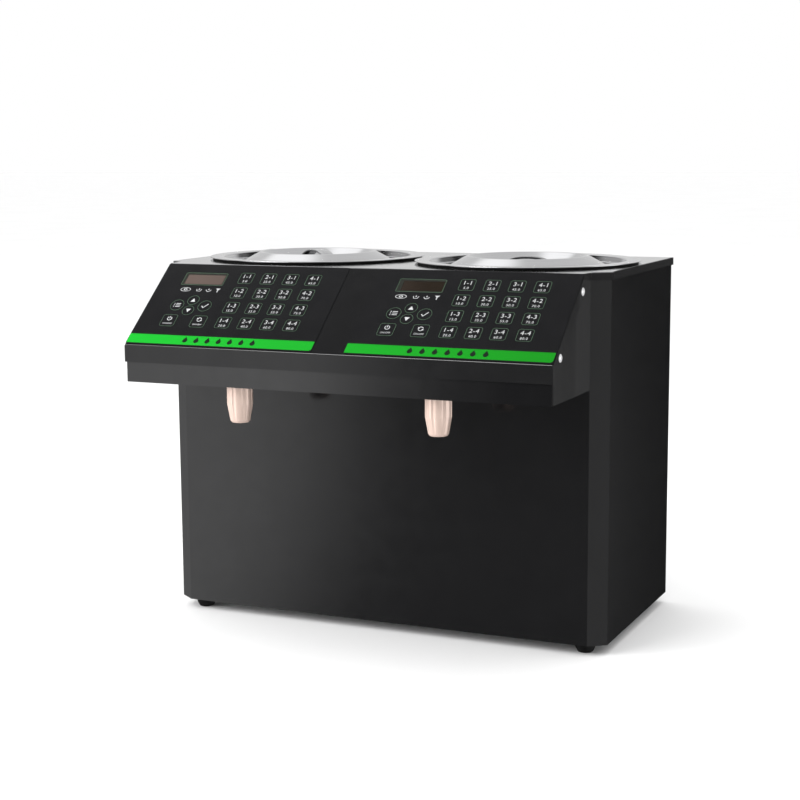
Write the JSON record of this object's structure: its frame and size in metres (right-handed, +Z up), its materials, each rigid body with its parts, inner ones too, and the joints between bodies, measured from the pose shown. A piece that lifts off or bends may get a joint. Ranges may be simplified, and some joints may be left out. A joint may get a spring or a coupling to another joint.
{
  "type": "fructose dispenser",
  "caption": "Countertop twin-tank syrup dispenser: black cabinet, steel lids, sloping front console with flat keypads, and two fluted nozzles under an overhanging head.",
  "frame": {"origin": "on the floor under the middle of the bounding box", "axes": "+X to the right seen from the front, +Y to the rear, so the keypads face -Y; +Z up"},
  "size_m": [0.503, 0.356, 0.399],
  "materials": {
    "cabinet": "satin black powder coat",
    "trim": "satin black powder coat",
    "deck": "brushed along the width",
    "lids": "spun and circular brushed",
    "handles": "satin",
    "tanks": "deep drawn, satin",
    "inner_steel": "machined",
    "zinc": "bright zinc plate",
    "screws": "polished",
    "rubber": "matt",
    "seals": "matt food grade elastomer",
    "film": "dark film with printed key outlines",
    "window": "smoked clear plastic",
    "plungers": "moulded",
    "boards": "solder resist",
    "nozzles": "pale champagne moulding",
    "acetal": "machined acetal",
    "hoses": "clear food hose",
    "bronze": "sintered bronze",
    "motors": "black oxide",
    "black_plastic": "moulded",
    "rocker": "moulded",
    "supply": "folded sheet",
    "wires": "sleeved harness"
  },
  "bodies": {
    "cabinet": {"base_plate": "cabinet", "board_standoffs": "plungers", "cabinet_shell": "cabinet", "console_cover": "cabinet", "console_screws": "screws", "deck_plate": "deck", "display_windows": "window", "feet": "rubber", "foot_screws": "screws", "head_screws": "screws", "head_shell": "cabinet", "hose_clamps": "inner_steel", "idler_pins": "inner_steel", "keypad_board_left": "boards", "keypad_board_right": "boards", "main_board": "boards", "overlay_left": "film", "overlay_right": "film", "power_inlet": "black_plastic", "power_supply": "supply", "pump_bodies": "inner_steel", "pump_brackets": "zinc", "pump_covers": "inner_steel", "pump_motors": "motors", "pump_screws": "screws", "rear_panel": "cabinet", "rear_screws": "screws", "shaft_bushes": "bronze", "spring_retainers": "inner_steel", "switch_housing": "black_plastic", "syrup_hoses": "hoses", "tank_gaskets": "seals", "tank_left": "tanks", "tank_right": "tanks", "tank_shelf": "zinc", "top_trim": "trim", "valve_body_left": "acetal", "valve_body_right": "acetal", "valve_spring_left": "inner_steel", "valve_spring_right": "inner_steel", "wire_harness": "wires"},
    "lid_left": {"lid_left": "lids", "lid_handle_left": "handles", "lid_seal_left": "seals"},
    "lid_right": {"lid_right": "lids", "lid_handle_right": "handles", "lid_seal_right": "seals"},
    "keys_left": {"key_plungers_left": "plungers"},
    "keys_right": {"key_plungers_right": "plungers"},
    "pump_drive_left": {"motor_shaft_left": "inner_steel", "drive_gear_left": "acetal"},
    "pump_drive_right": {"motor_shaft_right": "inner_steel", "drive_gear_right": "acetal"},
    "pump_idler_left": {"idler_gear_left": "acetal"},
    "pump_idler_right": {"idler_gear_right": "acetal"},
    "poppet_left": {"valve_poppet_left": "inner_steel"},
    "poppet_right": {"valve_poppet_right": "inner_steel"},
    "nozzle_left": {"nozzle_left": "nozzles"},
    "nozzle_right": {"nozzle_right": "nozzles"},
    "rocker": {"rocker_switch": "rocker"}
  },
  "joints": [
    {"name": "lid_lift_left", "type": "slide", "parent": "cabinet", "child": "lid_left", "axis": [0, 0, 1], "range_m": [0, 0.12]},
    {"name": "lid_lift_right", "type": "slide", "parent": "cabinet", "child": "lid_right", "axis": [0, 0, 1], "range_m": [0, 0.12]},
    {"name": "keys_press_left", "type": "slide", "parent": "cabinet", "child": "keys_left", "axis": [0, 0.6416, -0.7671], "range_m": [0, 0.00025], "stiffness_N_per_m": 8000},
    {"name": "keys_press_right", "type": "slide", "parent": "cabinet", "child": "keys_right", "axis": [0, 0.6416, -0.7671], "range_m": [0, 0.00025], "stiffness_N_per_m": 8000},
    {"name": "pump_drive_left", "type": "hinge", "parent": "cabinet", "child": "pump_drive_left", "pos_m": [-0.125, 0.03, 0.062], "axis": [1, 0, 0], "continuous": true},
    {"name": "pump_idler_left", "type": "hinge", "parent": "cabinet", "child": "pump_idler_left", "pos_m": [-0.125, 0.03, 0.08], "axis": [1, 0, 0], "continuous": true},
    {"name": "pump_drive_right", "type": "hinge", "parent": "cabinet", "child": "pump_drive_right", "pos_m": [0.125, 0.03, 0.062], "axis": [1, 0, 0], "continuous": true},
    {"name": "pump_idler_right", "type": "hinge", "parent": "cabinet", "child": "pump_idler_right", "pos_m": [0.125, 0.03, 0.08], "axis": [1, 0, 0], "continuous": true},
    {"name": "poppet_open_left", "type": "slide", "parent": "cabinet", "child": "poppet_left", "axis": [0, 0, -1], "range_m": [0, 0.002], "stiffness_N_per_m": 300, "springref_m": -0.003, "deforming": ["valve_spring_left"]},
    {"name": "poppet_open_right", "type": "slide", "parent": "cabinet", "child": "poppet_right", "axis": [0, 0, -1], "range_m": [0, 0.002], "stiffness_N_per_m": 300, "springref_m": -0.003, "deforming": ["valve_spring_right"]},
    {"name": "nozzle_off_left", "type": "slide", "parent": "cabinet", "child": "nozzle_left", "axis": [0, 0, -1], "range_m": [0, 0.1]},
    {"name": "nozzle_off_right", "type": "slide", "parent": "cabinet", "child": "nozzle_right", "axis": [0, 0, -1], "range_m": [0, 0.1]},
    {"name": "rocker_tilt", "type": "hinge", "parent": "cabinet", "child": "rocker", "pos_m": [-0.108, 0.1705, 0.06], "axis": [1, 0, 0], "range_deg": [0, 22]}
  ],
  "couplings": [
    {"joint": "pump_idler_left", "follows": "pump_drive_left", "ratio": -1},
    {"joint": "pump_idler_right", "follows": "pump_drive_right", "ratio": -1}
  ]
}
